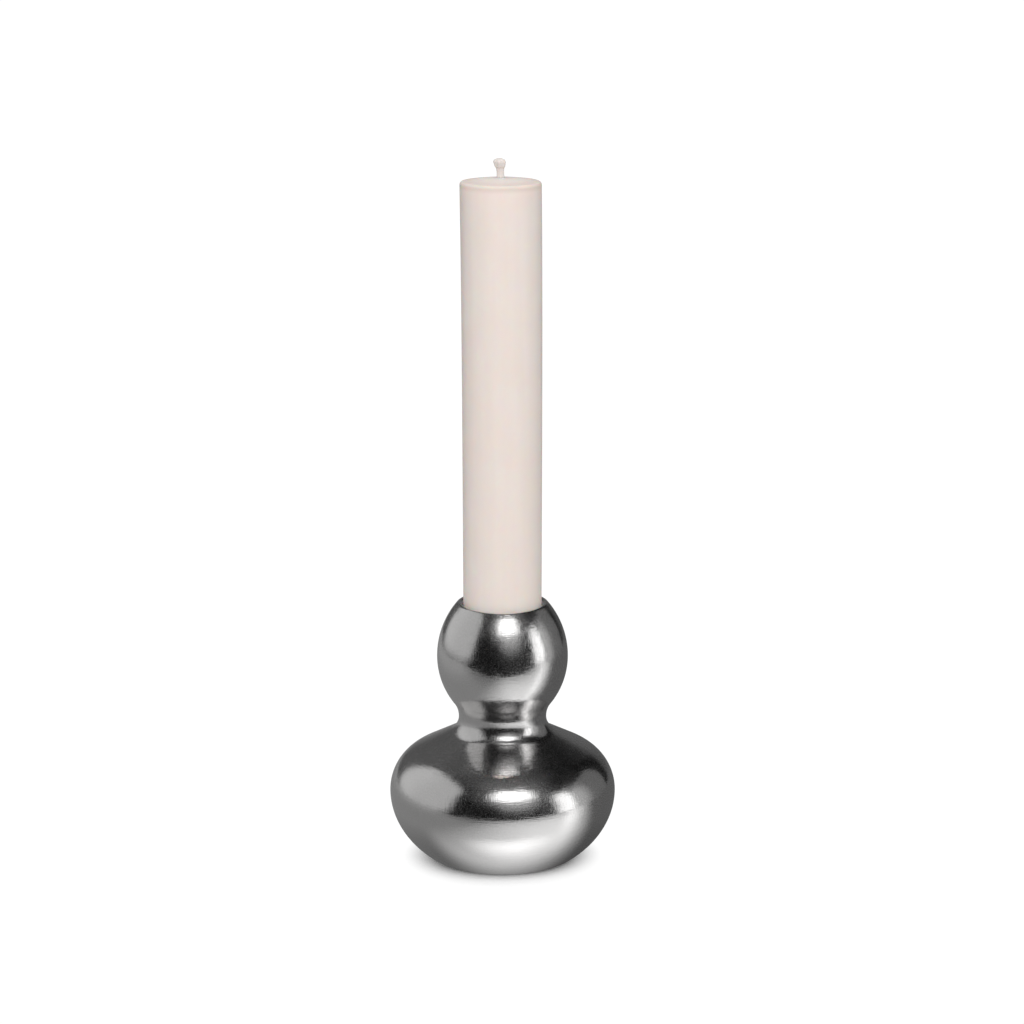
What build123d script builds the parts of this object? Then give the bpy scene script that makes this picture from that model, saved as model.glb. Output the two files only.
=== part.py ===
from build123d import *

import math
import os

# A weighted metal candlestick of two spun bulbs, and the column candle that stands in it.
# Millimetres. +Z is up, and the origin is the centre of the felt's underside.
# Every turned piece is drawn as a section in (radius, height) and spun about the Z axis.

# ---- Driving dimensions -------------------------------------------------------------------

# Sheet metal
wall = 0.8                    # thickness of the two spun shells and the candle cup
solder_gap = 0.05             # room for solder between the neck ring and the shells

# Lower bulb
bulb_r = 55.3                 # radius at its widest
bulb_z = 32.3                 # height of its widest circle
bulb_drop = 42.4              # vertical half-axis of the elliptical underside
shoulder_r = 23.7             # radius of the arc over the shoulder
foot_lift = 0.6               # how far the felt holds the metal foot off the table
foot_opening_r = 31.0         # opening inside the foot's turned-in edge
foot_round_r = 0.5            # rounding on the outside of the foot's edge

# Neck
neck_r = 21.4                 # radius at the waist
neck_z = 69.7                 # height of the waist, where the two shells meet
neck_low_r = 9.0              # radius of the hollow curve under the waist
neck_ring_share = 0.8         # share of each hollow curve's arc that the neck ring follows
neck_ring_bore_r = 14.0

# Upper ball
ball_r = 31.9                 # radius at its widest
ball_z = 100.3                # height of its widest circle
belly_r = 37.3                # radius of the arc below the widest circle
crown_r = 41.0                # radius of the arc above it
lip_r = 1.7                   # radius of the cup's rolled lip

# Candle
candle_r = 18.95              # radius at the foot
candle_spread = 0.45          # how much wider the radius is at the top
candle_length = 228.4         # up to the edge of the top
candle_rise = 1.9             # how far the wax climbs from that edge to the wick
candle_crown = 0.12           # bulge of that climb, as a share of candle_rise
candle_foot_chamfer = 1.0
candle_edge_r = 1.5           # rounding of the top edge
candle_clearance = 0.25       # radial room between the candle and the cup's mouth
socket_depth = 24.2           # from the top of the lip down to the candle's seat
wick_r = 1.7
wick_tip_r = 2.7              # the frayed tip is wider than the stem
wick_stand = 8.3              # how far the wick stands above the candle
wick_tip_length = 5.0
wick_gap = 0.05

# Fasteners: one M6 bolt from the cup's floor to the base
bolt_r = 3.0
bolt_head_r = 5.5
bolt_head_height = 4.0
bolt_head_edge_r = 1.5
slot_width = 1.2
slot_depth = 1.8
bolt_hole_clearance = 0.3
thread_gap = 0.05
bolt_tail = 1.2               # how far the bolt's end stands past the nut
nut_across_flats = 10.0
nut_height = 5.0
washer_r = 6.5
washer_thickness = 1.2
lock_washer_r = 5.5
lock_washer_thickness = 1.6
lock_washer_split = 1.5
well_clearance = 0.8          # room round and over the fasteners in their wells

# Base
plate_thickness = 1.2
plate_clearance = 0.2         # between the base plate's edge and the shell
felt_clearance = 0.5          # between the felt's edge and the foot's turned-in edge
ballast_gap = 0.3             # between the cast ballast and the metal round it
ballast_top_z = 47.0
ballast_bore_r = 5.0

# ---- Derived places -----------------------------------------------------------------------

shoulder_centre = (bulb_r - shoulder_r, bulb_z)
neck_low_centre = (neck_r + neck_low_r, neck_z)

# The straight cone between shoulder and neck is tangent to both arcs. Its normal's angle:
cone_dx = neck_low_centre[0] - shoulder_centre[0]
cone_dz = neck_low_centre[1] - shoulder_centre[1]
cone_lean = math.acos((shoulder_r + neck_low_r) / math.hypot(cone_dx, cone_dz))
cone_angle = math.degrees(math.atan2(cone_dz, cone_dx) - cone_lean)

# The hollow curve above the waist is tangent to the ball's belly.
belly_centre = (ball_r - belly_r, ball_z)
waist_dx = neck_r - belly_centre[0]
waist_dz = ball_z - neck_z
neck_high_r = (waist_dx**2 + waist_dz**2 - belly_r**2) / (2 * (ball_r - neck_r))
neck_high_centre = (neck_r + neck_high_r, neck_z)
throat_angle = math.degrees(math.atan2(waist_dz, neck_high_centre[0] - belly_centre[0]))

# The cup clears the candle both at its foot and where it passes through the mouth.
candle_top_r = candle_r + candle_spread
candle_mouth_r = candle_r + candle_spread * socket_depth / candle_length
bore_r = max(candle_r, candle_mouth_r) + candle_clearance

# The rolled lip lies inside the ball's crown arc and is tangent to it.
crown_centre = (ball_r - crown_r, ball_z)
lip_x = bore_r + lip_r
lip_dx = lip_x - crown_centre[0]
lip_z = ball_z + math.sqrt((crown_r - lip_r) ** 2 - lip_dx**2)
mouth_angle = math.degrees(math.atan2(lip_z - ball_z, lip_dx))
rim_z = lip_z + lip_r

seat_z = rim_z - socket_depth
candle_edge_z = seat_z + candle_length
candle_top_z = candle_edge_z + candle_rise
wick_top_z = candle_top_z + wick_stand

plate_z = foot_lift + wall                     # underside of the base plate
bolt_hole_r = bolt_r + bolt_hole_clearance
well_r = washer_r + well_clearance
cup_well_depth = washer_thickness + bolt_head_height + well_clearance
cup_well_z = seat_z - cup_well_depth           # top of the cup well's floor
bolt_head_z = cup_well_z + washer_thickness    # underside of the bolt's head
plate_well_depth = washer_thickness + lock_washer_thickness + nut_height + bolt_tail + well_clearance
plate_roof_z = plate_z + plate_well_depth      # underside of the plate well's roof
base_washer_z = plate_roof_z - washer_thickness
lock_washer_z = base_washer_z - lock_washer_thickness
nut_z = lock_washer_z - nut_height
bolt_end_z = nut_z - bolt_tail


# ---- Shared shapes ------------------------------------------------------------------------

def turned(edges):
    """Spin a closed section, drawn as (radius, height), about the Z axis."""
    return revolve(Plane.XZ * make_face(edges), Axis.Z)


def turned_polygon(*points):
    """Spin a straight-sided section about the Z axis."""
    return turned(Polyline(*points, close=True).edges())


def ring(inner_r, outer_r, bottom_z, height):
    """A flat ring or, with no inner radius, a disc."""
    top_z = bottom_z + height
    return turned_polygon((inner_r, bottom_z), (outer_r, bottom_z), (outer_r, top_z), (inner_r, top_z))


def bulb_edges(inset):
    """The lower bulb's outline from foot to waist, moved inwards by inset."""
    drop = bulb_drop - inset
    foot_angle = math.degrees(math.asin((foot_lift + inset - bulb_z) / drop))
    underside = EllipticalCenterArc((0, bulb_z), bulb_r - inset, drop, foot_angle, arc_size=-foot_angle)
    shoulder = CenterArc(shoulder_centre, shoulder_r - inset, 0, cone_angle)
    hollow = CenterArc(neck_low_centre, neck_low_r + inset, 180, cone_angle)
    cone = Line(shoulder @ 1, hollow @ 1)
    return [underside, shoulder, cone, hollow]


def ball_edges(inset):
    """The upper ball's outline from the waist to the lip, moved inwards by inset."""
    hollow = CenterArc(neck_high_centre, neck_high_r + inset, 180, -throat_angle)
    belly = CenterArc(belly_centre, belly_r - inset, -throat_angle, throat_angle)
    crown = CenterArc(crown_centre, crown_r - inset, 0, mouth_angle)
    return [hollow, belly, crown]


def bulb_cavity_r(height):
    """Inner radius of the lower bulb's underside at a height."""
    across = (height - bulb_z) / (bulb_drop - wall)
    return (bulb_r - wall) * math.sqrt(1 - across**2)


# ---- Pieces -------------------------------------------------------------------------------

def base_bulb_shell():
    """Lower spun shell, its foot turned in under the base plate."""
    outer = bulb_edges(0)
    inner = bulb_edges(wall)
    foot = outer[0] @ 0
    foot_inside = inner[0] @ 0
    opening_low = (foot_opening_r, foot_lift)
    opening_high = (foot_opening_r, plate_z)
    seam = Line(outer[-1] @ 0, inner[-1] @ 0)
    flange = [
        Line(foot, opening_low),
        Line(opening_low, opening_high),
        Line(opening_high, foot_inside),
    ]
    shell = turned(outer + inner + [seam] + flange)
    foot_edges = shell.edges().filter_by(GeomType.CIRCLE).group_by(Axis.Z)[0]
    return fillet(foot_edges.sort_by(SortBy.RADIUS)[-1], foot_round_r)


def socket_ball_shell():
    """Upper spun shell, from the waist to the edge that meets the cup's lip."""
    outer = ball_edges(0)
    inner = ball_edges(wall)
    seam = Line(outer[0] @ 0, inner[0] @ 0)
    mouth = Line(outer[-1] @ 1, inner[-1] @ 1)
    return turned(outer + inner + [seam, mouth])


def neck_ring():
    """Turned ring inside the waist that both shells are soldered to."""
    reach = wall + solder_gap
    low_curve = CenterArc(neck_low_centre, neck_low_r + reach, 180, neck_ring_share * cone_angle)
    high_curve = CenterArc(neck_high_centre, neck_high_r + reach, 180, -neck_ring_share * throat_angle)
    low = low_curve @ 1
    high = high_curve @ 1
    bore = Polyline(high, (neck_ring_bore_r, high.Y), (neck_ring_bore_r, low.Y), low)
    return turned([low_curve, high_curve] + bore.edges())


def candle_cup():
    """Socket that holds the candle: rolled lip, straight wall, seat, and a well for the bolt."""
    lip_outer = CenterArc((lip_x, lip_z), lip_r, mouth_angle, 180 - mouth_angle)
    lip_inner = CenterArc((lip_x, lip_z), lip_r - wall, mouth_angle, 180 - mouth_angle)
    lip_end = Line(lip_outer @ 0, lip_inner @ 0)
    bore = (bore_r, lip_z)
    back = (bore_r + wall, lip_z)
    floor = Polyline(
        bore,
        (bore_r, seat_z),
        (well_r, seat_z),
        (well_r, cup_well_z),
        (bolt_hole_r, cup_well_z),
        (bolt_hole_r, cup_well_z - wall),
        (well_r + wall, cup_well_z - wall),
        (well_r + wall, seat_z - wall),
        (bore_r + wall, seat_z - wall),
        back,
    )
    return turned([lip_outer, lip_inner, lip_end] + floor.edges())


def tie_bolt():
    """Long slotted bolt that clamps the cup, the shells and the base plate together."""
    shank = ring(0, bolt_r, bolt_end_z, bolt_head_z - bolt_end_z)
    shank = chamfer(shank.edges().group_by(Axis.Z)[0], wall)
    head = ring(0, bolt_head_r, bolt_head_z, bolt_head_height)
    head = fillet(head.edges().group_by(Axis.Z)[-1], bolt_head_edge_r)
    slot_z = bolt_head_z + bolt_head_height - slot_depth / 2
    slot = Pos(0, 0, slot_z) * Box(2 * bolt_head_r + 1, slot_width, slot_depth)
    return head + shank - slot


def base_nut():
    """Hexagon nut on the bolt's lower end, its corners chamfered."""
    flat_to_corner = nut_across_flats / math.sqrt(3)
    hexagon = Plane.XY.offset(nut_z) * RegularPolygon(flat_to_corner, 6)
    body = extrude(hexagon, nut_height)
    bevel = (flat_to_corner - nut_across_flats / 2) / 2
    envelope = ring(0, flat_to_corner, nut_z, nut_height)
    body &= chamfer(envelope.edges().filter_by(GeomType.CIRCLE), bevel)
    return body - ring(0, bolt_r + thread_gap, nut_z, nut_height)


def lock_washer():
    """Split spring washer between the nut and the flat washer."""
    washer = ring(bolt_hole_r, lock_washer_r, lock_washer_z, lock_washer_thickness)
    middle_z = lock_washer_z + lock_washer_thickness / 2
    split = Pos(lock_washer_r, 0, middle_z)
    return washer - split * Box(2 * lock_washer_r, lock_washer_split, 2 * lock_washer_thickness)


def base_plate():
    """Steel disc held by the foot's turned-in edge, with a raised well for the nut."""
    plate_r = bulb_cavity_r(plate_z) - plate_clearance
    roof_top_z = plate_roof_z + plate_thickness
    return turned_polygon(
        (well_r, plate_z),
        (plate_r, plate_z),
        (plate_r, plate_z + plate_thickness),
        (well_r + plate_thickness, plate_z + plate_thickness),
        (well_r + plate_thickness, roof_top_z),
        (bolt_hole_r, roof_top_z),
        (bolt_hole_r, plate_roof_z),
        (well_r, plate_roof_z),
    )


def ballast_weight():
    """Cast weight that fills the lower bulb over the base plate, round the nut's well."""
    edges = bulb_edges(wall + ballast_gap)
    top = edges[-1] @ 0
    bottom = edges[0] @ 0
    closing = Polyline(top, (0, top.Y), (0, bottom.Y), bottom)
    cavity = turned(edges + closing.edges())
    bottom_z = plate_z + plate_thickness + ballast_gap
    body = cavity & ring(0, bulb_r, bottom_z, ballast_top_z - bottom_z)
    pocket_r = well_r + plate_thickness + ballast_gap
    pocket_top_z = plate_roof_z + plate_thickness + ballast_gap
    body -= ring(0, pocket_r, bottom_z, pocket_top_z - bottom_z)
    return body - ring(0, ballast_bore_r, bottom_z, ballast_top_z - bottom_z)


def candle_body():
    """Column candle, bored for the wick: a little wider at the top, which climbs to the wick."""
    inner_r = wick_r + wick_gap
    side = Polyline(
        (inner_r, candle_top_z),
        (inner_r, seat_z),
        (candle_r, seat_z),
        (candle_top_r, candle_edge_z),
    )
    climb_mid = ((inner_r + candle_top_r) / 2, candle_edge_z + candle_rise * (0.5 + candle_crown))
    climb = ThreePointArc((candle_top_r, candle_edge_z), climb_mid, (inner_r, candle_top_z))
    candle = turned(side.edges() + [climb])
    foot_edge = candle.edges().group_by(Axis.Z)[0].sort_by(SortBy.RADIUS)[-1]
    candle = chamfer(foot_edge, candle_foot_chamfer)
    top_edge = candle.edges().filter_by_position(Axis.Z, candle_edge_z - 0.01, candle_edge_z + 0.01)
    return fillet(top_edge, candle_edge_r)


def candle_wick():
    """Braided wick through the whole candle, its free end frayed wider than the stem."""
    tip_base_z = wick_top_z - wick_tip_length
    tip_wide_z = wick_top_z - wick_tip_length / 2
    stem = Polyline((wick_r, tip_base_z), (wick_r, seat_z), (0, seat_z), (0, wick_top_z))
    flare = Line((wick_r, tip_base_z), (wick_tip_r, tip_wide_z))
    cap_mid = (wick_tip_r * 0.8, wick_top_z - wick_tip_length * 0.16)
    cap = ThreePointArc((wick_tip_r, tip_wide_z), cap_mid, (0, wick_top_z))
    return turned(stem.edges() + [flare, cap])


# ---- Write one file per piece -------------------------------------------------------------

pieces = {
    "base_bulb_shell": base_bulb_shell(),
    "socket_ball_shell": socket_ball_shell(),
    "neck_ring": neck_ring(),
    "candle_cup": candle_cup(),
    "cup_washer": ring(bolt_hole_r, washer_r, cup_well_z, washer_thickness),
    "tie_bolt": tie_bolt(),
    "base_washer": ring(bolt_hole_r, washer_r, base_washer_z, washer_thickness),
    "lock_washer": lock_washer(),
    "base_nut": base_nut(),
    "base_plate": base_plate(),
    "ballast_weight": ballast_weight(),
    "felt_pad": ring(0, foot_opening_r - felt_clearance, 0, plate_z),
    "candle_body": candle_body(),
    "candle_wick": candle_wick(),
}

os.makedirs("parts", exist_ok=True)
for name, shape in pieces.items():
    shape.label = name
    export_step(shape, f"parts/{name}.step")
print(f"rim {rim_z:.2f}  seat {seat_z:.2f}  candle top {candle_top_z:.2f}  wick top {wick_top_z:.2f}")
print(f"bore radius {bore_r:.3f}  hollow above the waist {neck_high_r:.2f}")
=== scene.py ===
import math

import bmesh
import bpy
from bpy.props import FloatProperty, FloatVectorProperty, IntProperty, PointerProperty
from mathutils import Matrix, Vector


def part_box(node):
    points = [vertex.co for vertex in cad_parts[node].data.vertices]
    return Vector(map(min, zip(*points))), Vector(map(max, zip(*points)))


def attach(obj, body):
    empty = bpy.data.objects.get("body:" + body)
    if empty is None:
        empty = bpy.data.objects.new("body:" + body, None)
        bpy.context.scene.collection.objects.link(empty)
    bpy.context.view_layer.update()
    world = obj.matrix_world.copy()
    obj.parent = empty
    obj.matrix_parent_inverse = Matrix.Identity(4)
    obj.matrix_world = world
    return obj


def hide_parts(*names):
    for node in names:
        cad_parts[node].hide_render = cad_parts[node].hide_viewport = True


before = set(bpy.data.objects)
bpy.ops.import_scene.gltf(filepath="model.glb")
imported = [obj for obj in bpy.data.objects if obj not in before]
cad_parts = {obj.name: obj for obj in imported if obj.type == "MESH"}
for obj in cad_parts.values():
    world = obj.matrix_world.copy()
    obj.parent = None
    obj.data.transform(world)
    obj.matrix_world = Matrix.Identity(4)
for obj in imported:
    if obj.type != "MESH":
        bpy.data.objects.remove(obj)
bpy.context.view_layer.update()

# The candlestick's visible pieces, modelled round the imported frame, in metres, +Z up.
# Turned pieces are drawn as a section in the XZ plane and spun about the Z axis.

bl_info = {
    "name": "Two-Bulb Candlestick",
    "version": (1, 0, 0),
    "blender": (4, 5, 0),
    "location": "View3D > Sidebar > Candlestick",
    "description": "Builds a weighted two-bulb candlestick, its candle and a small studio",
    "category": "Add Mesh",
}

BULB_LOW, BULB_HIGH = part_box("base_bulb_shell")
BALL_LOW, BALL_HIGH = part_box("socket_ball_shell")
CUP_LOW, CUP_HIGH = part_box("candle_cup")
FELT_LOW, FELT_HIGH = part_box("felt_pad")
CANDLE_LOW, CANDLE_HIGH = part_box("candle_body")
WICK_LOW, WICK_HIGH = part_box("candle_wick")
BOLT_LOW, BOLT_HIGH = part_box("tie_bolt")

# Fine details, in metres unless they are shares, counts or steps
SEAT_ROUND = 0.0005           # where the socket's bore meets the seat
WELL_ROUND = 0.0004           # where the seat meets the bolt's well
FELT_ROUND = 0.0003           # softness of the felt's two edges
FELT_STEPS = 96               # steps round the felt
CANDLE_FOOT_ROUND = 0.0009    # where the candle's side meets its foot
CANDLE_CROWN = 0.12           # bulge of the climb to the wick, as a share of its height
CANDLE_STEPS = 160
PAINTED_SHADE_UNDER_EDGE = (0.0040, 0.0006)    # depths under the top's edge where the painted shade starts and is full
PAINTED_SHADE_FROM_SIDE = (0.0100, 0.0012)     # the same for the painted shade on the top, inwards from the candle's side
BEND_POWER = 4                # the higher, the later the candle starts to bend

WICK_OVER = 0.0005            # how far the braided tip is drawn past the frame's wick
NECK_DROP = 0.0042            # from the tip down to the neck, where the stem gives way to the knob
NECK_RUN = 0.0008             # how gradually the stem widens into the neck
WICK_FINE = 0.003             # the stretch just inside the wax that has finer steps
FLARE_LOW = 0.0002            # the wick widens from this far under the candle's top
FLARE_HIGH = 0.0005           # to this far over it
BRAID_START = 0.0003          # height over the candle's top from which the braid shows
CORE_SHARE = 0.97             # radius inside the candle, as a share of the wick's
STEM_SHARE = 1.08             # radius above the wax, as a share of the wick's
NECK_SHARE = 1.08             # radius at the neck, as a share of the stem's
KNOB = (                      # share of the knob's radius, distance below the tip, and steps
    (0.96, 0.0036, 4),
    (1.10, 0.0027, 4),
    (1.12, 0.0014, 5),
    (0.96, 0.0004, 4),
    (0.50, -0.0002, 4),
)
BRAID_PITCH = 0.0075          # climb of a strand in one turn
BRAID_STRANDS = 3
STEM_BRAID = 0.05             # depth of the braid, as a share of the radius
KNOB_BRAID = 0.10
FRAY_DEPTH = 0.12             # how much the knob's tufts draw in towards the tip
FRAY_TUFTS = 5
FRAY_START = 1.3              # where the first tuft stands, in radians
WICK_LEAN = 0.0005            # how far the wick's tip leans to the left
WICK_STEPS = 72

BOLT_SHANK = 0.003            # radius of the shank
BOLT_HEAD_HEIGHT = 0.004
BOLT_HEAD_ROUND = 0.0015
BOLT_POINT = 0.0012           # height of the tapered point under the thread
BOLT_POINT_SHARE = 0.72       # radius of the point's end, as a share of the shank's
THREAD_CREST = 0.98           # radius of the thread's crest, as a share of the shank's
THREAD_ROOT = 0.85            # radius of the thread's root, as a share of the shank's
THREAD_PITCH = 0.001
THREAD_VALLEY = 0.45          # where the root lies, as a share of the pitch
THREAD_LAND = 0.9             # where the crest starts, as a share of the pitch
THREAD_LENGTH = 0.030
SLOT_WIDTH = 0.0012
SLOT_DEPTH = 0.0018
BOLT_STEPS = 48


# ---- Sizes, colours and light -------------------------------------------------------------

def length(name, text, value):
    """A length property in metres."""
    return FloatProperty(
        name=name, description=text, default=value, min=0.0, unit="LENGTH", precision=5
    )


def colour(name, text, value):
    """A colour property."""
    return FloatVectorProperty(
        name=name, description=text, default=value, size=3, min=0.0, max=1.0, subtype="COLOR"
    )


def level(name, text, value, top=10.0):
    """A plain number, such as a brightness."""
    return FloatProperty(name=name, description=text, default=value, min=0.0, max=top)


def turn(name, text, degrees):
    """An angle property, written here in degrees."""
    return FloatProperty(name=name, description=text, default=math.radians(degrees), subtype="ANGLE")


class CandlestickSizes(bpy.types.PropertyGroup):
    """Sizes of the metal holder, the candle and its wick."""

    wall: length("Sheet", "Thickness of the spun sheet", 0.0008)
    bulb_radius: length("Bulb Radius", "Lower bulb at its widest", BULB_HIGH[0])
    bulb_height: length("Bulb Height", "Height of the lower bulb's widest circle", 0.0323)
    underside_depth: length("Underside Depth", "Vertical half-axis of the bulb's underside", 0.0424)
    shoulder_radius: length("Shoulder", "Radius of the arc over the shoulder", 0.0237)
    foot_opening: length("Foot Opening", "Radius inside the foot's turned-in edge", 0.031)
    foot_round: length("Foot Round", "Rounding of the foot's outer edge", 0.0005)
    neck_radius: length("Neck Radius", "Radius of the waist", 0.0214)
    neck_curve: length("Neck Curve", "Radius of the hollow under the waist", 0.009)
    ball_radius: length("Ball Radius", "Upper ball at its widest", BALL_HIGH[0])
    ball_height: length("Ball Height", "Height of the ball's widest circle", 0.1003)
    belly_radius: length("Belly", "Radius of the arc under the ball's widest circle", 0.0373)
    crown_radius: length("Crown", "Radius of the arc over the ball's widest circle", 0.041)
    lip_radius: length("Lip", "Radius of the socket's rolled lip", 0.0017)
    bore_radius: length("Bore", "Inside radius of the socket", 0.019248)
    seat_height: length("Seat", "Height of the candle's seat", CANDLE_LOW[2])
    well_radius: length("Well", "Radius of the well under the candle", 0.0073)
    bolt_hole: length("Bolt Hole", "Radius of the hole in the well's floor", 0.0033)
    candle_foot: length("Candle Foot", "Radius of the candle at its foot", 0.01895)
    candle_edge: length("Candle Edge", "Rounding of the candle's top edge", 0.0015)
    candle_rise: length("Candle Rise", "How far the wax climbs from that edge to the wick", 0.0019)
    candle_bend: length("Candle Bend", "How far the candle's top has bent to the left", 0.00075)
    wick_radius: length("Wick", "Radius of the waxed wick", 0.0017)
    wick_tip: length("Wick Tip", "Radius of the frayed end", 0.0027)


class CandlestickFinish(bpy.types.PropertyGroup):
    """Colours and polish."""

    silver: colour("Silver", "Colour of the polished metal", (0.80, 0.792, 0.787))
    polish: level("Polish", "Roughness between the scuffs", 0.06, 1.0)
    hairline: level("Scuffs", "Roughness of the finest scuffs", 0.33, 1.0)
    wax: colour("Wax", "Colour of the candle", (0.83, 0.745, 0.69))
    wick: colour("Wick", "Colour of the waxed cotton", (0.76, 0.70, 0.665))
    felt: colour("Felt", "Colour of the felt", (0.02, 0.02, 0.022))
    brass: colour("Brass", "Colour of the neck ring", (0.72, 0.52, 0.26))
    zinc: colour("Zinc", "Colour of the bolt, nut and washers", (0.62, 0.62, 0.60))
    primer: colour("Primer", "Colour of the base plate", (0.10, 0.10, 0.105))
    cement: colour("Cement", "Colour of the ballast", (0.42, 0.40, 0.37))


class CandlestickStudio(bpy.types.PropertyGroup):
    """Camera, table and light."""

    camera_distance: length("Camera Distance", "From the holder's axis, level with the table", 1.4)
    camera_height: length("Camera Height", "Above the table", 0.503)
    camera_side: length("Camera Side", "To the right of the holder's axis", 0.00464)
    camera_tilt: turn("Camera Tilt", "Down from level", 13.3)
    camera_lens: FloatProperty(
        name="Lens", description="Focal length", default=104.9, min=1.0, unit="CAMERA"
    )
    table_front: length("Table Front", "From the axis to the table's front edge", 0.275)
    table_side: length("Table Side", "From the axis to the table's left and right edges", 0.66)
    table_back: length("Table Back", "From the axis to the table's back edge", 0.9)
    ambient: level("Ambient", "Light from the front and all round", 0.86)
    key_power: level("Key Power", "Watts of the soft key light", 11.0, 1000.0)
    table_lift: level("Table Lift", "How much paler the table is made where it is seen", 0.45)
    segments: IntProperty(name="Segments", description="Steps round a turned piece", default=256, min=24)


def sizes():
    """The sizes set in the sidebar."""
    return bpy.context.scene.candlestick_sizes


def finish():
    """The colours and polish set in the sidebar."""
    return bpy.context.scene.candlestick_finish


def studio():
    """The camera, table and light set in the sidebar."""
    return bpy.context.scene.candlestick_studio


# ---- Modelling helpers --------------------------------------------------------------------

def deselect_all():
    """Leave edit mode and select nothing."""
    if bpy.context.object and bpy.context.object.mode == "EDIT":
        bpy.ops.object.mode_set(mode="OBJECT")
    bpy.ops.object.select_all(action="DESELECT")


def start_section(name, x, z):
    """Begin a section as a single point in the XZ plane, and stay in edit mode."""
    deselect_all()
    bpy.ops.mesh.primitive_plane_add(size=0.001, location=(0, 0, 0))
    piece = bpy.context.object
    piece.name = name
    piece.data.name = name
    bpy.ops.object.mode_set(mode="EDIT")
    bpy.ops.mesh.merge(type="CENTER")
    bpy.ops.transform.translate(value=(x, 0, z))
    return piece


def draw_to(x, z, steps=1):
    """Draw a straight line from the selected point to (x, z)."""
    mesh = bmesh.from_edit_mesh(bpy.context.object.data)
    here = next(v for v in mesh.verts if v.select).co
    step = (Vector((x, 0, z)) - here) / steps
    for _ in range(steps):
        bpy.ops.mesh.extrude_region_move(TRANSFORM_OT_translate={"value": step})


def draw_arc(x, z, degrees, steps):
    """Draw an arc about (x, z) from the selected point, anticlockwise seen from the front."""
    bpy.ops.mesh.spin(
        steps=steps, dupli=False, angle=math.radians(degrees), center=(x, 0, z), axis=(0, 1, 0)
    )


def pick_point(x, z):
    """Select only the section's point nearest to (x, z)."""
    bpy.ops.mesh.select_mode(type="VERT")
    bpy.ops.mesh.select_all(action="DESELECT")
    mesh = bmesh.from_edit_mesh(bpy.context.object.data)
    there = Vector((x, 0, z))
    nearest = min(mesh.verts, key=lambda v: (v.co - there).length)
    nearest.select_set(True)
    mesh.select_flush_mode()
    bmesh.update_edit_mesh(bpy.context.object.data)


def round_corner(x, z, radius, steps=5):
    """Round the section's corner at (x, z)."""
    pick_point(x, z)
    bpy.ops.mesh.bevel(affect="VERTICES", offset_type="OFFSET", offset=radius, segments=steps)


def spin_section(steps):
    """Spin the whole section about the Z axis, close it and face it outwards."""
    bpy.ops.mesh.select_all(action="SELECT")
    bpy.ops.mesh.spin(steps=steps, dupli=False, angle=2 * math.pi, center=(0, 0, 0), axis=(0, 0, 1))
    bpy.ops.mesh.select_all(action="SELECT")
    bpy.ops.mesh.remove_doubles(threshold=1e-7)
    bpy.ops.mesh.normals_make_consistent(inside=False)


def face_towards(place, direction):
    """Turn all faces over if the one nearest to place looks away from direction."""
    mesh = bmesh.from_edit_mesh(bpy.context.object.data)
    nearest = min(mesh.faces, key=lambda f: (f.calc_center_median() - Vector(place)).length)
    if nearest.normal.dot(Vector(direction)) < 0:
        bpy.ops.mesh.select_all(action="SELECT")
        bpy.ops.mesh.flip_normals()


def thicken(piece, wall):
    """Give a spun surface its sheet thickness, behind the side that its faces look to."""
    bpy.ops.object.mode_set(mode="OBJECT")
    sheet = piece.modifiers.new("sheet", "SOLIDIFY")
    sheet.thickness = wall
    sheet.offset = -1.0
    sheet.use_even_offset = True
    bpy.ops.object.modifier_apply(modifier=sheet.name)


def smooth(piece, degrees=30):
    """Leave edit mode and shade the piece smooth, with creases kept above an angle."""
    deselect_all()
    piece.select_set(True)
    bpy.context.view_layer.objects.active = piece
    bpy.ops.object.shade_smooth_by_angle(angle=math.radians(degrees))


def bend_with_candle(bend):
    """Bend the mesh a little to the left towards the candle's top, as warm wax does."""
    mesh = bmesh.from_edit_mesh(bpy.context.object.data)
    foot = CANDLE_LOW[2]
    for v in mesh.verts:
        v.co.x -= bend * ((v.co.z - foot) / (CANDLE_HIGH[2] - foot)) ** BEND_POWER
    bmesh.update_edit_mesh(bpy.context.object.data)


def fit(piece, node, body, material):
    """Finish a piece: its material, the body it rides on and the frame node it stands for."""
    piece.data.materials.clear()
    piece.data.materials.append(material)
    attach(piece, body)
    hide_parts(node)


def bulb_places(s):
    """Centres and tangent angle of the bulb's arcs: shoulder, hollow, and the cone between."""
    shoulder = (s.bulb_radius - s.shoulder_radius, s.bulb_height)
    hollow = (s.neck_radius + s.neck_curve, BALL_LOW[2])
    run = hollow[0] - shoulder[0]
    rise = hollow[1] - shoulder[1]
    lean = math.acos((s.shoulder_radius + s.neck_curve) / math.hypot(run, rise))
    return shoulder, hollow, math.atan2(rise, run) - lean


def ball_places(s):
    """Centres of the ball's arcs, hollow, belly and crown, and the angle between the first two."""
    waist = BALL_LOW[2]
    belly = (s.ball_radius - s.belly_radius, s.ball_height)
    run = s.neck_radius - belly[0]
    rise = s.ball_height - waist
    curve = (run**2 + rise**2 - s.belly_radius**2) / (2 * (s.ball_radius - s.neck_radius))
    hollow = (s.neck_radius + curve, waist)
    throat = math.atan2(rise, hollow[0] - belly[0])
    crown = (s.ball_radius - s.crown_radius, s.ball_height)
    return hollow, belly, throat, crown


def lip_places(s):
    """Centre of the rolled lip, and the angle at which it meets the ball's crown."""
    crown_x = s.ball_radius - s.crown_radius
    lip = (s.bore_radius + s.lip_radius, CUP_HIGH[2] - s.lip_radius)
    return lip, math.atan2(lip[1] - s.ball_height, lip[0] - crown_x)


# ---- Material helpers ---------------------------------------------------------------------

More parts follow.
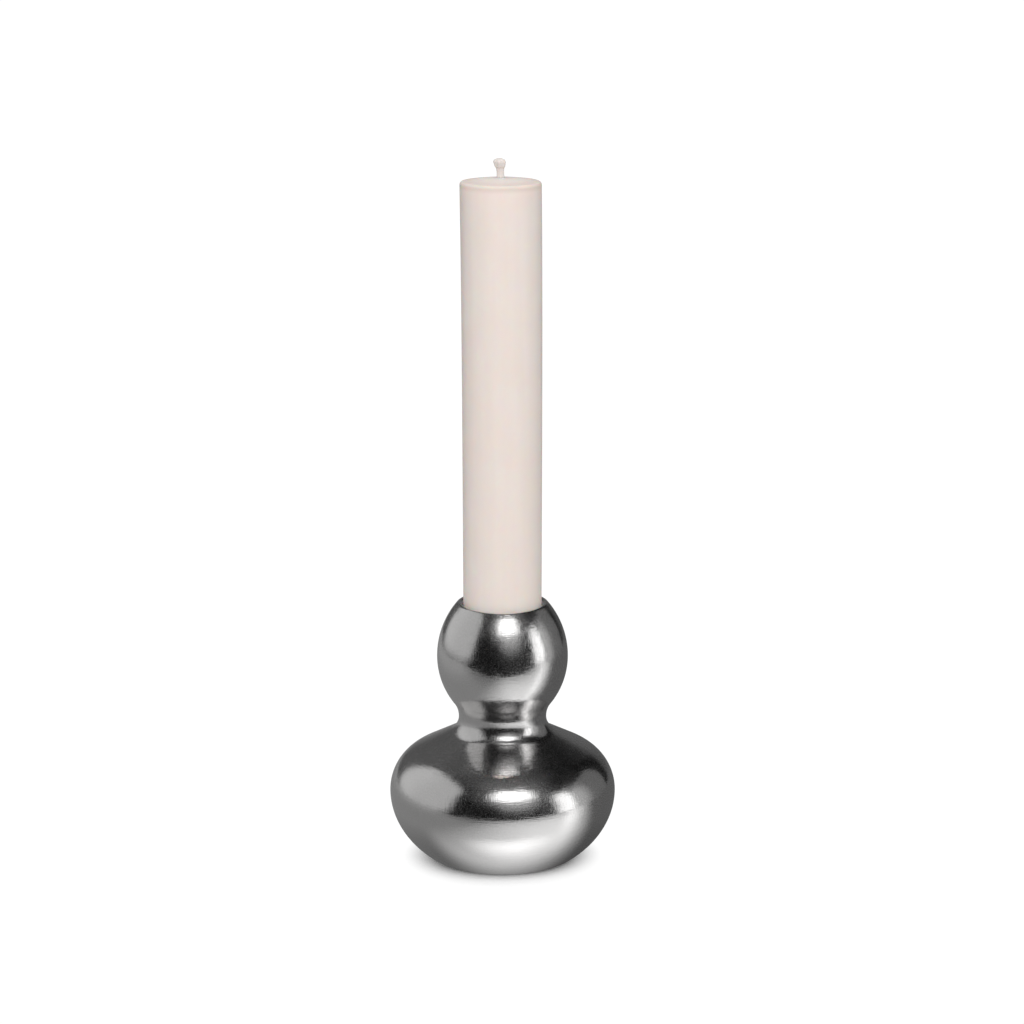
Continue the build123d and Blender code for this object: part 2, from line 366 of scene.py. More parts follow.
class Wiring:
    """Adds nodes to a tree and joins them up."""

    def __init__(self, tree):
        self.tree = tree
        tree.nodes.clear()

    def fill(self, node, values):
        """Link a node's inputs to sockets, or set them to plain values."""
        for key, value in values.items():
            if isinstance(value, bpy.types.NodeSocket):
                self.tree.links.new(value, node.inputs[key])
            else:
                node.inputs[key].default_value = value

    def add(self, kind, values=None, **settings):
        """Add a node, set its options, then fill its inputs."""
        made = self.tree.nodes.new(kind)
        for key, value in settings.items():
            setattr(made, key, value)
        self.fill(made, values or {})
        return made

    def place(self):
        """The place on the object, in metres."""
        return self.add("ShaderNodeTexCoord").outputs["Object"]

    def round_axis(self, place):
        """A place's part across the Z axis, and its height."""
        parts = self.add("ShaderNodeSeparateXYZ", {0: place})
        flat = self.add("ShaderNodeCombineXYZ", {0: parts.outputs[0], 1: parts.outputs[1]})
        return flat.outputs[0], parts.outputs[2]

    def length_of(self, vector):
        return self.add("ShaderNodeVectorMath", {0: vector}, operation="LENGTH").outputs["Value"]

    def math(self, operation, first, second=0.0, third=0.0, clamp=False):
        values = {0: first, 1: second, 2: third}
        return self.add("ShaderNodeMath", values, operation=operation, use_clamp=clamp).outputs[0]

    def ramp(self, value, low, high, start=0.0, end=1.0):
        """Smoothly carry value from low..high to start..end."""
        values = {"Value": value, "From Min": low, "From Max": high, "To Min": start, "To Max": end}
        made = self.add("ShaderNodeMapRange", values, interpolation_type="SMOOTHSTEP")
        return made.outputs["Result"]

    def dot(self, first, second):
        values = {0: first, 1: second}
        return self.add("ShaderNodeVectorMath", values, operation="DOT_PRODUCT").outputs["Value"]

    def mix(self, factor, first, second):
        """Mix two colours."""
        values = {0: factor, 6: first, 7: second}
        return self.add("ShaderNodeMix", values, data_type="RGBA", clamp_factor=True).outputs[2]

    def noise(self, vector, scale, detail=2.0, roughness=0.5, fourth=None):
        """Noise by a place of three numbers, or of four where the fourth is given."""
        values = {"Vector": vector, "Scale": scale, "Detail": detail, "Roughness": roughness}
        if fourth is None:
            return self.add("ShaderNodeTexNoise", values).outputs["Fac"]
        values["W"] = fourth
        return self.add("ShaderNodeTexNoise", values, noise_dimensions="4D").outputs["Fac"]

    def bump(self, height, strength, distance, normal=None):
        """A normal tilted by height, on top of another one where it is given."""
        values = {"Height": height, "Strength": strength, "Distance": distance}
        if normal is not None:
            values["Normal"] = normal
        return self.add("ShaderNodeBump", values).outputs["Normal"]


def new_material(name):
    """A new material with only a Principled shader, and its wiring."""
    material = bpy.data.materials.new(name)
    material.use_nodes = True
    wiring = Wiring(material.node_tree)
    shader = wiring.add("ShaderNodeBsdfPrincipled")
    output = wiring.add("ShaderNodeOutputMaterial")
    wiring.tree.links.new(shader.outputs[0], output.inputs["Surface"])
    return material, wiring, shader


def rgba(value, shade=1.0):
    """A colour with its alpha, darkened or lightened by shade."""
    return (value[0] * shade, value[1] * shade, value[2] * shade, 1.0)


def turned_place(w, stretch_round, stretch_along):
    """A place on a turned surface as four numbers: round the axis, then along the section."""
    flat, height = w.round_axis(w.place())
    outward = w.add("ShaderNodeVectorMath", {0: flat}, operation="NORMALIZE").outputs[0]
    heading = w.add("ShaderNodeSeparateXYZ", {0: outward})
    values = {
        0: w.math("MULTIPLY", heading.outputs[0], stretch_round),
        1: w.math("MULTIPLY", heading.outputs[1], stretch_round),
        2: w.math("MULTIPLY", height, stretch_along),
    }
    vector = w.add("ShaderNodeCombineXYZ", values).outputs[0]
    return vector, w.math("MULTIPLY", w.length_of(flat), stretch_along)


def silver_material():
    """Polished silver: a clear mirror under fine hairlines, round the axis and across it."""
    f = finish()
    material, w, shader = new_material("polished silver")
    place = w.place()
    round_lines, round_fourth = turned_place(w, 8.0, 1500.0)
    cross_lines, cross_fourth = turned_place(w, 80.0, 230.0)
    lathe = w.noise(round_lines, 1.0, 2.0, 0.6, round_fourth)
    cross = w.noise(cross_lines, 1.0, 2.0, 0.6, cross_fourth)
    grain = w.noise(place, 5200.0, 2.0, 0.6)
    wear = w.noise(place, 45.0, 3.0, 0.6)
    scuffed = w.math("ADD", grain, w.ramp(wear, 0.3, 0.7, -0.03, 0.03))
    normal = w.bump(w.ramp(lathe, 0.48, 0.68), 0.30, 0.00005)
    w.fill(shader, {
        "Metallic": 1.0,
        "Base Color": w.mix(w.ramp(wear, 0.35, 0.7), rgba(f.silver), rgba(f.silver, 0.97)),
        "Roughness": w.ramp(scuffed, 0.50, 0.64, f.polish, f.hairline),
        "Normal": w.bump(w.ramp(cross, 0.48, 0.68), 0.22, 0.00005, normal),
    })
    return material


def wax_material():
    """Ivory wax: faint clouding, a soft skin, light that sinks in, and painted shade that darkens the
    top's outer edge.
    """
    f = finish()
    material, w, shader = new_material("ivory wax")
    place = w.place()
    clouds = w.noise(place, 55.0, 3.0, 0.5)
    tall = w.add("ShaderNodeMapping", {"Vector": place, "Scale": (260.0, 260.0, 14.0)}).outputs[0]
    drawn = w.noise(tall, 1.0, 2.0, 0.5)
    pores = w.noise(place, 2400.0, 2.0, 0.5)
    paler = (f.wax[0], f.wax[1] * 1.015, f.wax[2] * 1.03, 1.0)
    tone = w.mix(w.ramp(clouds, 0.35, 0.65), rgba(f.wax), paler)
    tone = w.mix(w.ramp(drawn, 0.3, 0.7, 0.0, 0.35), tone, rgba(f.wax, 0.965))
    flat, height = w.round_axis(place)
    # Painted shade: the wax's colour is darkened round the top's outer edge, where the light makes the
    # rounded rim bright.
    edge = CANDLE_HIGH[2] - sizes().candle_rise
    high = w.ramp(height, *(edge - depth for depth in PAINTED_SHADE_UNDER_EDGE))
    side = CANDLE_HIGH[0]
    outer = w.ramp(w.length_of(flat), *(side - depth for depth in PAINTED_SHADE_FROM_SIDE), 0.35, 1.0)
    w.fill(shader, {
        "Base Color": w.mix(w.math("MULTIPLY", high, outer), tone, rgba(f.wax, 0.83)),
        "Roughness": w.ramp(clouds, 0.3, 0.7, 0.50, 0.62),
        "Normal": w.bump(pores, 0.10, 0.00003, w.bump(drawn, 0.10, 0.0002)),
        "Specular IOR Level": 0.35,
        "Subsurface Weight": 0.7,
        "Subsurface Radius": (1.0, 0.5, 0.28),
        "Subsurface Scale": 0.007,
    })
    return material


def wick_material():
    """Cotton braid under a thin coat of wax."""
    f = finish()
    material, w, shader = new_material("waxed cotton")
    stretch = {"Vector": w.place(), "Scale": (3500.0, 3500.0, 500.0)}
    fibres = w.noise(w.add("ShaderNodeMapping", stretch).outputs[0], 1.0, 3.0, 0.6)
    w.fill(shader, {
        "Base Color": w.mix(w.ramp(fibres, 0.35, 0.65), rgba(f.wick), rgba(f.wick, 0.93)),
        "Roughness": w.ramp(fibres, 0.3, 0.7, 0.45, 0.7),
        "Normal": w.bump(fibres, 0.4, 0.0001),
        "Subsurface Weight": 0.2,
        "Subsurface Radius": (1.0, 0.7, 0.5),
        "Subsurface Scale": 0.001,
    })
    return material


def felt_material():
    """Dark pressed felt with a fuzzy face."""
    f = finish()
    material, w, shader = new_material("felt")
    place = w.place()
    fuzz = w.noise(place, 1800.0, 4.0, 0.65)
    blotches = w.noise(place, 220.0, 3.0, 0.5)
    w.fill(shader, {
        "Base Color": w.mix(w.ramp(blotches, 0.3, 0.7), rgba(f.felt), rgba(f.felt, 1.7)),
        "Roughness": 0.95,
        "Normal": w.bump(fuzz, 0.6, 0.0002),
        "Sheen Weight": 0.4,
        "Sheen Roughness": 0.5,
    })
    return material


def metal_material(name, tint, roughness, grain):
    """A plain metal with turning marks and uneven tarnish."""
    material, w, shader = new_material(name)
    marks, fourth = turned_place(w, 4.0, grain)
    turning = w.noise(marks, 1.0, 2.0, 0.5, fourth)
    tarnish = w.noise(w.place(), 140.0, 4.0, 0.6)
    w.fill(shader, {
        "Metallic": 1.0,
        "Base Color": w.mix(w.ramp(tarnish, 0.35, 0.7), rgba(tint), rgba(tint, 0.8)),
        "Roughness": w.ramp(tarnish, 0.3, 0.7, roughness, roughness + 0.15),
        "Normal": w.bump(turning, 0.3, 0.00005),
    })
    return material


def zinc_material():
    """Zinc plate, for the bolt, the nut and the washers."""
    return metal_material("zinc plate", finish().zinc, 0.3, 3000.0)


def brass_material():
    """Turned brass, for the ring in the waist."""
    return metal_material("turned brass", finish().brass, 0.22, 1800.0)


def primer_material():
    """Grey primer, slightly pitted."""
    f = finish()
    material, w, shader = new_material("grey primer")
    place = w.place()
    pits = w.noise(place, 900.0, 3.0, 0.6)
    stains = w.noise(place, 90.0, 3.0, 0.5)
    w.fill(shader, {
        "Base Color": w.mix(w.ramp(stains, 0.3, 0.7), rgba(f.primer), rgba(f.primer, 1.3)),
        "Roughness": w.ramp(stains, 0.3, 0.7, 0.55, 0.75),
        "Normal": w.bump(pits, 0.3, 0.0001),
    })
    return material


def cement_material():
    """Cast cement with sand grains and small voids."""
    f = finish()
    material, w, shader = new_material("cast cement")
    place = w.place()
    sand = w.noise(place, 1300.0, 4.0, 0.7)
    clouds = w.noise(place, 70.0, 4.0, 0.6)
    voids = w.add("ShaderNodeTexVoronoi", {"Vector": place, "Scale": 420.0}).outputs["Distance"]
    tone = w.mix(w.ramp(clouds, 0.3, 0.7), rgba(f.cement, 0.85), rgba(f.cement, 1.1))
    w.fill(shader, {
        "Base Color": w.mix(w.ramp(sand, 0.45, 0.7, 0.0, 0.5), tone, rgba(f.cement, 0.6)),
        "Roughness": 0.9,
        "Normal": w.bump(w.ramp(voids, 0.0, 0.25), 0.5, 0.0004, w.bump(sand, 0.5, 0.0003)),
    })
    return material


def shared_material(name, make):
    """The material of that name, made the first time it is asked for."""
    return bpy.data.materials.get(name) or make()


# ---- Pieces -------------------------------------------------------------------------------

class SpinLowerBulb(bpy.types.Operator):
    """Spin the wide lower bulb, from its turned-in foot to the waist"""

    bl_idname = "candlestick.spin_lower_bulb"
    bl_label = "Spin Lower Bulb"

    def execute(self, context):
        s = sizes()
        shoulder, hollow, slope = bulb_places(s)
        foot = BULB_LOW[2]
        foot_angle = math.asin((s.bulb_height - foot) / s.underside_depth)
        foot_x = s.bulb_radius * math.cos(foot_angle)
        piece = start_section("lower_bulb", s.bulb_radius, s.bulb_height)
        draw_arc(0, s.bulb_height, -math.degrees(foot_angle), 40)
        bpy.ops.mesh.select_all(action="SELECT")
        bpy.ops.transform.resize(
            value=(1, 1, s.underside_depth / s.bulb_radius), center_override=(0, 0, s.bulb_height)
        )
        pick_point(foot_x, foot)
        draw_to(s.foot_opening, foot, 3)
        round_corner(foot_x, foot, s.foot_round)
        pick_point(s.bulb_radius, s.bulb_height)
        draw_arc(*shoulder, math.degrees(slope), 30)
        top = (
            hollow[0] - s.neck_curve * math.cos(slope),
            hollow[1] - s.neck_curve * math.sin(slope),
        )
        draw_to(*top, 6)
        draw_arc(*hollow, -math.degrees(slope), 18)
        spin_section(studio().segments)
        face_towards((s.bulb_radius, 0, s.bulb_height), (1, 0, 0))
        thicken(piece, s.wall)
        smooth(piece)
        material = shared_material("polished silver", silver_material)
        fit(piece, "base_bulb_shell", "holder", material)
        return {"FINISHED"}


class SpinUpperBall(bpy.types.Operator):
    """Spin the upper ball, from the waist to the socket's lip"""

    bl_idname = "candlestick.spin_upper_ball"
    bl_label = "Spin Upper Ball"

    def execute(self, context):
        s = sizes()
        hollow, belly, throat, crown = ball_places(s)
        _, mouth = lip_places(s)
        piece = start_section("upper_ball", s.neck_radius, BALL_LOW[2])
        draw_arc(*hollow, -math.degrees(throat), 20)
        draw_arc(*belly, math.degrees(throat), 28)
        draw_arc(*crown, math.degrees(mouth), 30)
        spin_section(studio().segments)
        face_towards((s.ball_radius, 0, s.ball_height), (1, 0, 0))
        thicken(piece, s.wall)
        smooth(piece)
        material = shared_material("polished silver", silver_material)
        fit(piece, "socket_ball_shell", "holder", material)
        return {"FINISHED"}


class TurnSocketCup(bpy.types.Operator):
    """Turn the candle's socket: a rolled lip, a straight bore, the seat and the bolt's well"""

    bl_idname = "candlestick.turn_socket_cup"
    bl_label = "Turn Socket Cup"

    def execute(self, context):
        s = sizes()
        lip, mouth = lip_places(s)
        start_x = lip[0] + s.lip_radius * math.cos(mouth)
        start_z = lip[1] + s.lip_radius * math.sin(mouth)
        well_floor = CUP_LOW[2] + s.wall
        piece = start_section("socket_cup", start_x, start_z)
        draw_arc(*lip, 180 - math.degrees(mouth), 24)
        draw_to(s.bore_radius, s.seat_height, 8)
        draw_to(s.well_radius, s.seat_height, 3)
        draw_to(s.well_radius, well_floor, 2)
        draw_to(s.bolt_hole, well_floor, 2)
        round_corner(s.bore_radius, s.seat_height, SEAT_ROUND)
        round_corner(s.well_radius, s.seat_height, WELL_ROUND)
        spin_section(studio().segments)
        face_towards((s.bore_radius, 0, (s.seat_height + lip[1]) / 2), (-1, 0, 0))
        thicken(piece, s.wall)
        smooth(piece)
        material = shared_material("polished silver", silver_material)
        fit(piece, "candle_cup", "holder", material)
        return {"FINISHED"}


class CutFeltPad(bpy.types.Operator):
    """Cut the felt disc under the foot, with soft edges"""

    bl_idname = "candlestick.cut_felt_pad"
    bl_label = "Cut Felt Pad"

    def execute(self, context):
        radius = FELT_HIGH[0]
        piece = start_section("felt_disc", 0, FELT_HIGH[2])
        draw_to(radius, FELT_HIGH[2], 12)
        draw_to(radius, FELT_LOW[2], 3)
        draw_to(0, FELT_LOW[2], 12)
        round_corner(radius, FELT_HIGH[2], FELT_ROUND, 3)
        round_corner(radius, FELT_LOW[2], FELT_ROUND, 3)
        spin_section(FELT_STEPS)
        smooth(piece, 40)
        fit(piece, "felt_pad", "holder", shared_material("felt", felt_material))
        return {"FINISHED"}


class CastCandle(bpy.types.Operator):
    """Cast the column candle: a rounded top edge, the wax climbing a little to the wick"""

    bl_idname = "candlestick.cast_candle"
    bl_label = "Cast Candle"

    def execute(self, context):
        s = sizes()
        foot = CANDLE_LOW[2]
        top = CANDLE_HIGH[2]
        edge = top - s.candle_rise
        top_radius = CANDLE_HIGH[0]
        bore = s.wick_radius
        piece = start_section("candle", bore, foot)
        draw_to(s.candle_foot, foot, 5)
        draw_to(top_radius, edge, 60)
        draw_to(bore, top, 16)
        draw_to(bore, foot)
        round_corner(s.candle_foot, foot, CANDLE_FOOT_ROUND)
        round_corner(top_radius, edge, s.candle_edge, 8)
        self.swell_top(bore, top_radius, edge, top)
        spin_section(CANDLE_STEPS)
        bend_with_candle(s.candle_bend)
        smooth(piece, 40)
        fit(piece, "candle_body", "candle", shared_material("ivory wax", wax_material))
        return {"FINISHED"}

    def swell_top(self, bore, top_radius, edge, top):
        """Swell the climb from the top's edge to the wick, so that it isn't a plain cone."""
        mesh = bmesh.from_edit_mesh(bpy.context.object.data)
        bulge = CANDLE_CROWN * (top - edge)
        for v in mesh.verts:
            if v.co.z > edge and v.co.x > bore:
                across = (v.co.x - bore) / (top_radius - bore)
                v.co.z += 4 * bulge * across * (1 - across)
        bmesh.update_edit_mesh(bpy.context.object.data)


class BraidWick(bpy.types.Operator):
    """Braid the wick: strands round a core, coated in wax, frayed at the free end"""

    bl_idname = "candlestick.braid_wick"
    bl_label = "Braid Wick"

    def execute(self, context):
        s = sizes()
        foot = WICK_LOW[2]
        top = WICK_HIGH[2] + WICK_OVER
        candle_top = CANDLE_HIGH[2]
        neck = top - NECK_DROP
        core = s.wick_radius * CORE_SHARE
        stem = s.wick_radius * STEM_SHARE
        piece = start_section("wick", 0, foot)
        draw_to(core, foot, 2)
        draw_to(core, candle_top - WICK_FINE, 6)
        draw_to(core, candle_top - FLARE_LOW, 3)
        draw_to(stem, candle_top + FLARE_HIGH, 3)
        draw_to(stem, neck - NECK_RUN, 14)
        draw_to(stem * NECK_SHARE, neck, 4)
        for share, drop, steps in KNOB:
            draw_to(s.wick_tip * share, top - drop, steps)
        draw_to(0, top, 3)
        spin_section(WICK_STEPS)
        self.shape_braid(candle_top, neck, top)
        bend_with_candle(s.candle_bend)
        smooth(piece, 60)
        fit(piece, "candle_wick", "candle", shared_material("waxed cotton", wick_material))
        return {"FINISHED"}

    def shape_braid(self, candle_top, neck, top):
        """Press the strands' valleys into the part above the wax, fray the knob and lean it."""
        mesh = bmesh.from_edit_mesh(bpy.context.object.data)
        for v in mesh.verts:
            if v.co.z < candle_top + BRAID_START:
                continue
            angle = math.atan2(v.co.y, v.co.x)
            climb = 2 * math.pi * v.co.z / BRAID_PITCH
            weave = math.sin(BRAID_STRANDS * angle + climb) * math.sin(BRAID_STRANDS * angle - climb)
            swell = 1.0 + (STEM_BRAID if v.co.z < neck else KNOB_BRAID) * weave
            if v.co.z > neck:
                fray = (v.co.z - neck) / (top - neck)
                tuft = 0.5 + 0.5 * math.sin(FRAY_TUFTS * angle + FRAY_START)
                swell *= 1.0 - FRAY_DEPTH * fray * tuft
            v.co.x *= swell
            v.co.y *= swell
            lift = max(0.0, v.co.z - candle_top) / (top - candle_top)
            v.co.x -= WICK_LEAN * lift**2
        bmesh.update_edit_mesh(bpy.context.object.data)


class CutTieBolt(bpy.types.Operator):
    """Cut the long slotted bolt with its rolled thread"""

    bl_idname = "candlestick.cut_tie_bolt"
    bl_label = "Cut Tie Bolt"

    def execute(self, context):
        crest = BOLT_SHANK * THREAD_CREST
        root = BOLT_SHANK * THREAD_ROOT
        head = BOLT_HIGH[0]
        head_bottom = BOLT_HIGH[2] - BOLT_HEAD_HEIGHT
        thread_bottom = BOLT_LOW[2] + BOLT_POINT
        piece = start_section("slotted_bolt", 0, BOLT_LOW[2])
        draw_to(BOLT_SHANK * BOLT_POINT_SHARE, BOLT_LOW[2])
        draw_to(crest, thread_bottom)
        for index in range(int(THREAD_LENGTH / THREAD_PITCH)):
            ridge = thread_bottom + index * THREAD_PITCH
            draw_to(root, ridge + THREAD_PITCH * THREAD_VALLEY)
            draw_to(crest, ridge + THREAD_PITCH * THREAD_LAND)
            draw_to(crest, ridge + THREAD_PITCH)
        draw_to(BOLT_SHANK, head_bottom, 4)
        draw_to(head, head_bottom, 2)
        draw_to(head, BOLT_HIGH[2], 2)
        draw_to(0, BOLT_HIGH[2], 3)
        round_corner(head, BOLT_HIGH[2], BOLT_HEAD_ROUND, 6)
        spin_section(BOLT_STEPS)
        self.cut_slot(piece, head)
        smooth(piece, 35)
        fit(piece, "tie_bolt", "holder", shared_material("zinc plate", zinc_material))
        return {"FINISHED"}

    def cut_slot(self, piece, head):
        """Cut the driver's slot across the head."""
        deselect_all()
        bpy.ops.mesh.primitive_cube_add(size=1, location=(0, 0, BOLT_HIGH[2]))
        cutter = bpy.context.object
        cutter.scale = (head * 2.4, SLOT_WIDTH, SLOT_DEPTH * 2)
        bpy.ops.object.transform_apply(location=True, rotation=True, scale=True)
        deselect_all()
        piece.select_set(True)
        bpy.context.view_layer.objects.active = piece
        slot = piece.modifiers.new("slot", "BOOLEAN")
        slot.object = cutter
        slot.solver = "EXACT"
        bpy.ops.object.modifier_apply(modifier=slot.name)
        bpy.data.objects.remove(cutter, do_unlink=True)


class FinishInnerPieces(bpy.types.Operator):
    """Give the pieces hidden in the holder their metals, primer and cement"""

    bl_idname = "candlestick.finish_inner_pieces"
    bl_label = "Finish Inner Pieces"

    def execute(self, context):
        zinc = shared_material("zinc plate", zinc_material)
        finishes = {
            "neck_ring": brass_material(),
            "cup_washer": zinc,
            "base_washer": zinc,
            "lock_washer": zinc,
            "base_nut": zinc,
            "base_plate": primer_material(),
            "ballast_weight": cement_material(),
        }
        for name, material in finishes.items():
            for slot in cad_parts[name].material_slots:
                slot.material = material
        return {"FINISHED"}


# ---- Studio -------------------------------------------------------------------------------

# Soft boxes that the polished metal mirrors: azimuth and tilt, the low and high edges across and
# along, how square the corners are, how soft the edges are, and how bright.
SOFT_BOXES = (
    (15, 15, (-0.38, 0.32), (0.42, 0.98), 3.5, 0.60, 1.9),     # the key
    (16, 15, (-0.28, 0.28), (0.02, 0.74), 2.5, 0.85, 0.36),    # its skirt
    (-92, 0, (-1.0, 0.80), (-0.13, 1.52), 4.2, 0.20, 0.46),    # a large one on the left
    (68, 0, (-0.18, 0.20), (-0.18, 0.66), 4.0, 0.40, 1.2),     # a narrow strip on the right
    (82, 0, (-0.24, 0.32), (-0.35, 0.64), 3.0, 0.60, 0.28),    # its spill
    (108, 0, (-0.45, 0.48), (-0.30, 0.74), 4.0, 0.05, 0.13),   # a dim panel behind it
)
# Wide glows: azimuth and elevation, the cosines where each starts and is full, and how bright.
GLOWS = (
    (16, 50, 0.70, 0.97, 0.08),      # over the key
    (40, 10, 0.6, 1.0, 0.015),       # low in front, on the right
    (-150, 20, 0.5, 0.95, 0.08),     # behind, on the left
    (170, -5, 0.86, 0.94, 0.07),     # low behind
    (0, 90, 0.80, 1.0, 0.06),        # overhead
)
ROOM = 0.006            # light mirrored from everywhere else
BACKDROP = 1.05         # brightness of the surroundings and of the table where the camera sees them
BEHIND = 0.001          # least depth that a direction is divided by, in front of a soft box

KEY_SIZE = (1.3, 1.0)
KEY_DIRECTION = (4, 46)
KEY_DISTANCE = 1.5      # from the point that it is aimed at
KEY_AIM = 0.15          # height of that point over the table

def look(azimuth, elevation):
    """A direction: azimuth 0 is towards the camera and 90 to its right, both in degrees."""
    a = math.radians(azimuth)
    e = math.radians(elevation)
    return Vector((math.sin(a) * math.cos(e), -math.cos(a) * math.cos(e), math.sin(e)))


def soft_box(w, direction, azimuth, tilt, across, along, roundness, soft, brightness):
    """One soft box with rounded corners, in a plane that faces the object from azimuth and tilt.
    Its edges across and along are tangents of the angle from the plane's middle."""
    ahead = look(azimuth, tilt)
    depth = w.math("MAXIMUM", w.dot(direction, ahead), BEHIND)
    parts = []
    for axis, (low, high) in ((look(azimuth + 90, 0), across), (look(azimuth, tilt + 90), along)):
        place = w.math("DIVIDE", w.dot(direction, axis), depth)
        place = w.math("SUBTRACT", place, (low + high) / 2)
        place = w.math("DIVIDE", w.math("ABSOLUTE", place), (high - low) / 2)
        parts.append(w.math("POWER", place, roundness))
    away = w.math("POWER", w.math("ADD", parts[0], parts[1]), 1 / roundness)
    inside = w.ramp(away, 1 - soft, 1 + soft, brightness, 0.0)
    return w.math("MULTIPLY", inside, w.math("GREATER_THAN", depth, 2 * BEHIND))


def glow_from(w, direction, azimuth, elevation, low, high, brightness):
    """A soft patch of light round a direction, from cosine low up to cosine high."""
    return w.ramp(w.dot(direction, look(azimuth, elevation)), low, high, 0.0, brightness)


def build_world():
    """Studio surroundings: soft boxes in a dim room for reflections, soft light for the rest."""
    world = bpy.data.worlds.new("studio")
    bpy.context.scene.world = world
    world.use_nodes = True
    w = Wiring(world.node_tree)
    direction = w.add("ShaderNodeTexCoord").outputs["Generated"]
    lights = [soft_box(w, direction, *box) for box in SOFT_BOXES]
    lights += [glow_from(w, direction, *glow) for glow in GLOWS]
    total = ROOM
    for light in lights:
        total = w.math("ADD", light, total)
    path = w.add("ShaderNodeLightPath")
    seen = w.math("MULTIPLY", path.outputs["Is Camera Ray"], BACKDROP)
    mirrored = w.math("MULTIPLY", path.outputs["Is Glossy Ray"], total)
    other = w.math("SUBTRACT", 1.0, path.outputs["Is Camera Ray"])
    other = w.math("SUBTRACT", other, path.outputs["Is Glossy Ray"], clamp=True)
    front = glow_from(w, direction, 0, 50, -1.0, 1.0, 1.0)
    even = w.math("MULTIPLY", w.math("MULTIPLY", other, front), studio().ambient)
    strength = w.math("ADD", w.math("ADD", seen, mirrored), even)
    white = (1.0, 1.0, 1.0, 1.0)
    background = w.add("ShaderNodeBackground", {"Color": white, "Strength": strength})
    output = w.add("ShaderNodeOutputWorld")
    w.tree.links.new(background.outputs[0], output.inputs["Surface"])


def mirrored_table(w):
    """How bright the table looks in polished metal: lit in front on the right, dim elsewhere.
    Places are in metres from the axis, x to the right and y away from the camera."""
    place = w.place()
    parts = w.add("ShaderNodeSeparateXYZ", {0: place})
    x = parts.outputs[0]
    y = parts.outputs[1]
    right_of_axis = w.math("MAXIMUM", x, 0.0)

    # On the left: darker in front than behind, and a little paler far out.
    left = w.ramp(y, -0.28, -0.08, 0.13, 0.24)
    left = w.math("ADD", left, w.ramp(x, -0.40, -0.12, 0.08, 0.0))

    # On the right: dim behind an edge that softens away from the axis, and lit in front of it.
    dim = 0.11
    edge = w.math("ADD", y, 0.037)
    edge = w.math("DIVIDE", edge, w.math("MULTIPLY_ADD", right_of_axis, 0.20, 0.012))
    lit = w.ramp(edge, -0.9, 0.85, 1.0, 0.0)
    front = w.ramp(y, -0.27, -0.05, 0.44, 0.90)

    # A brighter streak along that edge, which starts a little to the right of the axis.
    off_streak = w.math("ADD", w.math("MULTIPLY", x, 0.30), w.math("ADD", y, 0.035))
    off_streak = w.math("ABSOLUTE", off_streak)
    off_streak = w.math("DIVIDE", off_streak, w.math("MULTIPLY_ADD", right_of_axis, 0.12, 0.015))
    streak = w.math("MULTIPLY", w.ramp(off_streak, 0.0, 1.0, 0.34, 0.0), w.ramp(x, 0.02, 0.12))
    right = w.math("MULTIPLY", lit, w.math("ADD", w.math("ADD", front, streak), -dim))
    right = w.math("ADD", right, dim)

    side = w.ramp(x, -0.085, 0.045)
    table = w.math("MULTIPLY", side, w.math("SUBTRACT", right, left))
    table = w.math("ADD", table, left)

    # The holder's own shade round and behind the foot.
    shade = w.ramp(w.length_of(place), 0.036, 0.090, 0.30, 0.0)
    shade = w.math("MULTIPLY", shade, w.ramp(y, -0.05, -0.03))
    table = w.math("MULTIPLY", table, w.math("SUBTRACT", 1.0, shade))

    # A pool of light just in front of the foot: an ellipse, made a unit circle by the mapping.
    unit = {"Vector": place, "Location": (-0.16, 3.4, 0.0), "Scale": (20.0, 53.0, 1.0)}
    pool = w.length_of(w.add("ShaderNodeMapping", unit).outputs[0])
    return w.math("ADD", table, w.ramp(pool, 0.0, 1.0, 0.62, 0.0))


def table_material():
    """White table: bright all over but for the shade round the foot, with its own light in metal."""
    material = bpy.data.materials.new("table")
    material.use_nodes = True
    w = Wiring(material.node_tree)
    path = w.add("ShaderNodeLightPath")
    seen = path.outputs["Is Camera Ray"]
    mirrored = path.outputs["Is Glossy Ray"]
    tone = w.math("MULTIPLY_ADD", seen, studio().table_lift, 0.6)
    tone = w.add("ShaderNodeCombineColor", {0: tone, 1: tone, 2: tone}).outputs[0]
    diffuse = w.add("ShaderNodeBsdfDiffuse", {"Color": tone}).outputs[0]
    off_centre = {"Vector": w.place(), "Location": (0.0, 0.008, 0.0)}
    away = w.length_of(w.add("ShaderNodeMapping", off_centre).outputs[0])
    far = w.math("MULTIPLY", seen, w.ramp(away, 0.030, 0.053))
    strength = w.math("MULTIPLY", mirrored, mirrored_table(w))
    strength = w.math("ADD", strength, w.math("MULTIPLY", seen, BACKDROP))
    white = (1.0, 1.0, 1.0, 1.0)
    glow = w.add("ShaderNodeEmission", {"Color": white, "Strength": strength}).outputs[0]
    values = {0: w.math("MAXIMUM", mirrored, far), 1: diffuse, 2: glow}
    either = w.add("ShaderNodeMixShader", values)
    output = w.add("ShaderNodeOutputMaterial")
    w.tree.links.new(either.outputs[0], output.inputs["Surface"])
    return material


